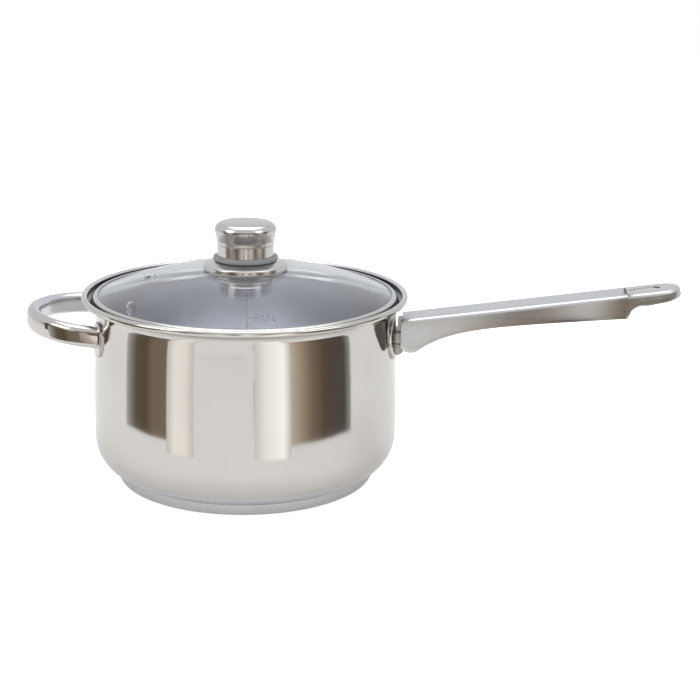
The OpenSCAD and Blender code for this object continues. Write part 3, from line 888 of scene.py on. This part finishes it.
# %% Satin, handle, bracket and knob steel
def satin_steel():
    finish = Finish("satin_steel", Metallic=1.0)
    round_place = turned_place(finish)[0]
    rings = finish.noise(3400, place=round_place, detail=2)
    wear = finish.noise(40, detail=4)
    finish.feed("Roughness", 0.17 + rings * 0.12 + wear * 0.06)
    finish.feed("Base Color", finish.blend(wear, (0.58, 0.575, 0.57, 1), (0.68, 0.675, 0.67, 1)))
    finish.bump(rings, 0.00004)
    return finish.material


def handle_steel():
    finish = Finish("handle_steel", Metallic=1.0)
    grain = finish.noise(420, stretch=(0.03, 1, 1), detail=3)
    clouds = finish.noise(22, detail=4)
    finish.feed("Roughness", 0.20 + grain * 0.09 + clouds * 0.06)
    finish.feed("Base Color", finish.blend(clouds, (0.60, 0.605, 0.615, 1), (0.68, 0.685, 0.69, 1)))
    finish.bump(clouds * 0.8 + grain * 0.12, 0.00005)
    return finish.material


def bracket_steel():
    finish = Finish("bracket_steel", Metallic=1.0)
    scale = finish.noise(160, detail=5)
    finish.feed("Roughness", 0.24 + scale * 0.18)
    finish.feed("Base Color", finish.blend(scale, (0.34, 0.33, 0.32, 1), (0.55, 0.54, 0.53, 1)))
    finish.bump(scale, 0.00005)
    return finish.material


def knob_steel():
    finish = Finish("knob_steel", Metallic=1.0)
    round_place = turned_place(finish)[0]
    rings = finish.noise(2200, place=round_place, detail=2)
    wear = finish.noise(70, detail=4)
    finish.feed("Roughness", 0.10 + rings * 0.07 + wear * 0.04)
    finish.feed("Base Color", finish.blend(wear, (0.58, 0.56, 0.53, 1), (0.67, 0.65, 0.62, 1)))
    finish.bump(rings, 0.00003)
    return finish.material


# %% [markdown]
# ## Glass, rubber, plastic, brass and the hidden disc
# Tempered glass is smooth and only faintly tinted. Lamps would be kept out by a refracting shader, so
# for shadow rays it is mixed with a clear one. The rest are everyday moulded and cut materials, each
# with its own grain: fine stipple on rubber, turning marks on brass, rolled streaks on aluminium.

# %% Glass
def tempered_glass():
    finish = Finish(
        "tempered_glass", Roughness=0.0, IOR=1.5, Transmission_Weight=1.0, Metallic=0.0,
    )
    rollers = finish.noise(14, detail=3)
    finish.feed("Base Color", finish.blend(rollers, (0.925, 0.94, 0.96, 1), (0.95, 0.96, 0.975, 1)))
    finish.bump(rollers, 0.0002, 0.6)
    rays = finish.node("ShaderNodeLightPath")
    clear = finish.node("ShaderNodeBsdfTransparent", {0: (0.88, 0.92, 0.93, 1)})
    mixed = finish.node(
        "ShaderNodeMixShader",
        {0: rays.outputs["Is Shadow Ray"], 1: finish.shader.outputs[0], 2: clear.outputs[0]},
    )
    output = finish.tree.nodes["Material Output"]
    finish.tree.links.new(mixed.outputs[0], output.inputs["Surface"])
    return finish.material


# %% Soft and hidden materials
def grained(name, dark, light, low_rough, high_rough, scale, depth, metal=0.0, stretch=(1, 1, 1)):
    """A plain material, with clouds and grain between two colours and two roughnesses."""
    finish = Finish(name, Metallic=metal)
    grain = finish.noise(scale, stretch=stretch, detail=4)
    clouds = finish.noise(scale * 0.06 + 6, detail=3)
    finish.feed("Base Color", finish.blend(clouds * 0.7 + grain * 0.3, (*dark, 1), (*light, 1)))
    finish.feed("Roughness", low_rough + grain * (high_rough - low_rough))
    finish.bump(grain, depth)
    return finish.material


finishes = {
    "polished_steel": pan_steel(),
    "satin_steel": satin_steel(),
    "handle_steel": handle_steel(),
    "bracket_steel": bracket_steel(),
    "knob_steel": knob_steel(),
    "tempered_glass": tempered_glass(),
    "grey_silicone": grained(
        "grey_silicone", (0.27, 0.275, 0.285), (0.36, 0.365, 0.38), 0.42, 0.6, 1800, 0.00003
    ),
    "clear_silicone": grained(
        "clear_silicone", (0.62, 0.64, 0.65), (0.78, 0.80, 0.81), 0.35, 0.5, 900, 0.00003
    ),
    "white_nylon": grained("white_nylon", (0.74, 0.73, 0.69), (0.84, 0.83, 0.80), 0.35, 0.5, 700, 0.00002),
    "black_plastic": grained(
        "black_plastic", (0.02, 0.02, 0.021), (0.04, 0.04, 0.042), 0.35, 0.55, 1400, 0.00003
    ),
    "insert_brass": grained(
        "insert_brass", (0.62, 0.43, 0.17), (0.80, 0.60, 0.28), 0.2, 0.36, 900, 0.00002, metal=1.0,
        stretch=(1, 1, 6),
    ),
    "core_aluminium": grained(
        "core_aluminium", (0.70, 0.71, 0.72), (0.84, 0.85, 0.86), 0.25, 0.42, 600, 0.00003, metal=1.0,
        stretch=(0.1, 1, 1),
    ),
}
print(len(finishes), "finishes made")

# %% [markdown]
# ## Giving every part its finish
# The record's material slots say which finish a part has. New pieces carry their slot's name, and the
# construction nodes that stay, all of them hidden inside the knob and the base, are found the same way.

# %% Assign the finishes
node_slots = {part["node"]: part["material_slot"] for part in frame["record"]["subparts"]}
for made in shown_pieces():
    slot_name = made.get("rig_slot") or node_slots[made["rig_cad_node"]]
    made.data.materials.clear()
    made.data.materials.append(finishes[slot_name])

# %% [markdown]
# ## Stage, light and camera
# A white floor and a white surround, as in a studio. The surround's full strength is only for what is
# seen directly or through the glass, so that it can be pure white while the parts are lit at a plain
# level. A polished pan shows the room round it: dark boards and bright strips stand on the floor, a dark
# mat lies where the handle's skirt looks, and a ring of window frames hangs above. They can be seen
# only in reflections, as can the dark low part of the surround in front. The camera stands a metre from
# the middle of the rim, a little to the right and above, and is turned slightly off it.

# %% Floor and surround
def stage_material(name, colour, camera_glow, mirror_glow):
    """A matt floor that also glows a little, more for the camera than for reflections and glass."""
    finish = Finish(name, Base_Color=(*colour, 1), Roughness=0.9, Emission_Color=(*colour, 1))
    rays = finish.node("ShaderNodeLightPath")
    seen = finish.number(rays.outputs["Is Camera Ray"]) * camera_glow
    mirrored = finish.number(rays.outputs["Is Glossy Ray"]) * mirror_glow
    through = finish.number(rays.outputs["Is Transmission Ray"]) * mirror_glow
    finish.feed("Emission Strength", seen + mirrored + through)
    return finish.material


floor_bm = bmesh.new()
bmesh.ops.create_circle(floor_bm, cap_ends=True, segments=96, radius=4)
floor_mesh = bpy.data.meshes.new("floor")
floor_bm.to_mesh(floor_mesh)
floor_bm.free()
floor = bpy.data.objects.new("floor", floor_mesh)
bpy.context.scene.collection.objects.link(floor)
floor.location = (0, 0, -0.0003)
floor.data.materials.append(stage_material("white_floor", (0.86, 0.86, 0.86), 0.85, 0.2))

world = bpy.data.worlds.new("studio")
bpy.context.scene.world = world
world.use_nodes = True
sky = NodeTree(world.node_tree)
backdrop = sky.tree.nodes["Background"]
rays = sky.node("ShaderNodeLightPath")
way = sky.node("ShaderNodeSeparateXYZ", {0: sky.node("ShaderNodeTexCoord").outputs["Generated"]})


def fade(value, start, end):
    """Rises smoothly from nothing to one between two values."""
    made = sky.node(
        "ShaderNodeMapRange", {"Value": value, "From Min": start, "From Max": end},
        interpolation_type="SMOOTHSTEP",
    )
    return sky.number(made.outputs[0])


ahead = sky.number(way.outputs["Y"]) * -1.0 + sky.number(way.outputs["X"]) * 0.15
height = sky.number(way.outputs["Z"])
mirrored = sky.number(rays.outputs["Is Glossy Ray"])
room = fade(ahead, -0.25, 0.15) * fade(height, 0.34, 0.14) * mirrored
white = sky.blend(mirrored, (1, 1, 1, 1), (0.94, 0.965, 1, 1))
sky.tree.links.new(sky.blend(room, white, (0.17, 0.14, 0.115, 1)), backdrop.inputs["Color"])
strength = 1.0 - sky.number(rays.outputs["Is Diffuse Ray"]) * 0.45 - mirrored * 0.2
sky.tree.links.new(strength.socket, backdrop.inputs["Strength"])
print("white floor and surround")

# %% Boards, strips and frames
CAMERA_TURN = 9


def board(name, start, end, radius, foot_height, height, colours, far_radius=None):
    """A curved board between two directions, counted to the right from the camera's. With a far radius
    it lies flat between the two radii."""
    bm = bmesh.new()
    foot, turn = math.radians(CAMERA_TURN - 90 + start), math.radians(end - start)
    low = bm.verts.new((radius * MM * math.cos(foot), radius * MM * math.sin(foot), foot_height * MM))
    widening = (far_radius or radius) / radius
    high = bm.verts.new((low.co.x * widening, low.co.y * widening, height * MM))
    edge = bm.edges.new((low, high))
    bmesh.ops.spin(bm, geom=[low, high, edge], cent=(0, 0, 0), axis=(0, 0, 1), angle=turn, steps=48)
    mesh = bpy.data.meshes.new(name)
    bm.to_mesh(mesh)
    bm.free()
    made = bpy.data.objects.new(name, mesh)
    bpy.context.scene.collection.objects.link(made)
    material = bpy.data.materials.new(name)
    material.use_nodes = True
    paint = NodeTree(material.node_tree)
    paint.tree.nodes.remove(paint.tree.nodes["Principled BSDF"])
    place = paint.node("ShaderNodeTexCoord")
    split = paint.node("ShaderNodeSeparateXYZ", {0: place.outputs["Object"]})
    x, y = paint.number(split.outputs["X"]), paint.number(split.outputs["Y"])
    bearing = x.maths("ARCTAN2", y, x)
    share = paint.node("ShaderNodeMapRange", {"Value": bearing, "From Min": foot, "From Max": foot + turn})
    ramp = paint.node("ShaderNodeValToRGB", {0: share.outputs[0]})
    while len(ramp.color_ramp.elements) < len(colours):
        ramp.color_ramp.elements.new(0.5)
    for element, (position, colour) in zip(ramp.color_ramp.elements, colours):
        element.position = position
        element.color = (*colour, 1)
    glow = paint.node("ShaderNodeEmission", {0: ramp.outputs[0]})
    paint.tree.links.new(glow.outputs[0], paint.tree.nodes["Material Output"].inputs["Surface"])
    made.data.materials.append(material)
    for kind in ("camera", "diffuse", "transmission", "shadow", "volume_scatter"):
        setattr(made, f"visible_{kind}", False)


BROWN, DARK, PALE = (0.30, 0.23, 0.16), (0.09, 0.07, 0.055), (0.95, 0.93, 0.90)
board("left_board", -81, -43, 240, 6, 112, [
    (0.0, (0.60, 0.60, 0.60)), (0.10, (0.34, 0.33, 0.31)), (0.24, (0.15, 0.125, 0.09)),
    (0.45, (0.13, 0.10, 0.07)), (0.60, (0.25, 0.19, 0.14)), (0.88, (0.24, 0.20, 0.16)),
    (1.0, (0.75, 0.66, 0.57)),
])
board("right_board", 24, 68, 240, 6, 104, [
    (0.0, (0.78, 0.72, 0.68)), (0.14, (0.55, 0.45, 0.34)), (0.34, (0.25, 0.19, 0.14)),
    (0.55, (0.13, 0.09, 0.065)), (0.88, (0.10, 0.09, 0.085)), (1.0, (0.42, 0.43, 0.38)),
])
board("left_strip", -41, -26, 155, 24, 112, [
    (0.0, (0.80, 0.76, 0.72)), (0.3, (1.2, 1.16, 1.11)),
    (0.7, (1.15, 1.12, 1.07)), (1.0, (0.8, 0.79, 0.77)),
])
board("right_strip", 4, 22, 155, 24, 112, [
    (0.0, (0.85, 0.83, 0.80)), (0.3, (1.2, 1.18, 1.14)),
    (0.8, (1.45, 1.43, 1.40)), (1.0, (0.8, 0.77, 0.74)),
])
board("handle_mat", 5, 27, 300, 1, 1, [(0.0, BROWN), (0.6, (0.13, 0.11, 0.09)), (1.0, DARK)], 560)
board("far_board", 10, 76, 520, 0, 260, [(0.0, BROWN), (0.5, (0.13, 0.12, 0.10)), (1.0, BROWN)])
board("window_frames", -85, 85, 250, 86, 165, [
    (0.0, DARK), (0.10, BROWN), (0.17, PALE), (0.22, BROWN), (0.30, DARK), (0.36, BROWN), (0.42, PALE),
    (0.47, DARK), (0.50, (1.4, 1.35, 1.3)), (0.56, BROWN), (0.62, PALE), (0.70, DARK), (0.76, BROWN),
    (0.83, PALE), (0.90, BROWN), (1.0, DARK),
])
print("seven boards")

# %% Soft lamps
MIDDLE = (0, 0, 0.1)


def soft_lamp(name, place, width, height, power):
    """An area lamp that looks at the middle of the pan. Places and sizes are in metres."""
    data = bpy.data.lights.new(name, "AREA")
    data.shape = "RECTANGLE"
    data.size, data.size_y = width, height
    data.energy = power
    made = bpy.data.objects.new(name, data)
    bpy.context.scene.collection.objects.link(made)
    made.location = place
    made.rotation_euler = (Vector(MIDDLE) - Vector(place)).to_track_quat("-Z", "Y").to_euler()


soft_lamp("overhead", (0.0, 0.15, 1.5), 1.6, 1.2, power=9)
soft_lamp("left_window", (-1.3, -0.9, 0.9), 0.9, 1.1, power=5)
soft_lamp("right_fill", (1.4, -0.7, 0.8), 0.8, 1.0, power=3)
print("three lamps")

# %% Camera
FOCUS_OVER_WIDTH, CAMERA_RISE = 2.16193, 13.249
YAW, PITCH, ROLL = 4.082, 15.464, 0.877
CAMERA_REACH = 1009.72
camera_data = bpy.data.cameras.new("camera")
camera_data.sensor_width = 36
camera_data.lens = FOCUS_OVER_WIDTH * camera_data.sensor_width
camera = bpy.data.objects.new("camera", camera_data)
bpy.context.scene.collection.objects.link(camera)
turn, rise = math.radians(CAMERA_TURN), math.radians(CAMERA_RISE)
spot = Vector((math.sin(turn) * math.cos(rise), -math.cos(turn) * math.cos(rise), math.sin(rise)))
spot *= CAMERA_REACH
yaw, pitch, roll = math.radians(YAW - CAMERA_TURN), math.radians(PITCH), math.radians(ROLL)
look = Vector((math.sin(yaw) * math.cos(pitch), math.cos(yaw) * math.cos(pitch), -math.sin(pitch)))
side = Vector((math.cos(yaw), -math.sin(yaw), 0))
lift = side.cross(look)
right = side * math.cos(roll) + lift * math.sin(roll)
up = lift * math.cos(roll) - side * math.sin(roll)
camera.matrix_world = Matrix((
    (right.x, up.x, -look.x, spot.x * MM),
    (right.y, up.y, -look.y, spot.y * MM),
    (right.z, up.z, -look.z, (spot.z + RIM_TOP) * MM),
    (0, 0, 0, 1),
))
bpy.context.scene.camera = camera
bpy.context.scene.view_settings.view_transform = "Standard"
print("camera at", [round(c, 3) for c in camera.matrix_world.translation])
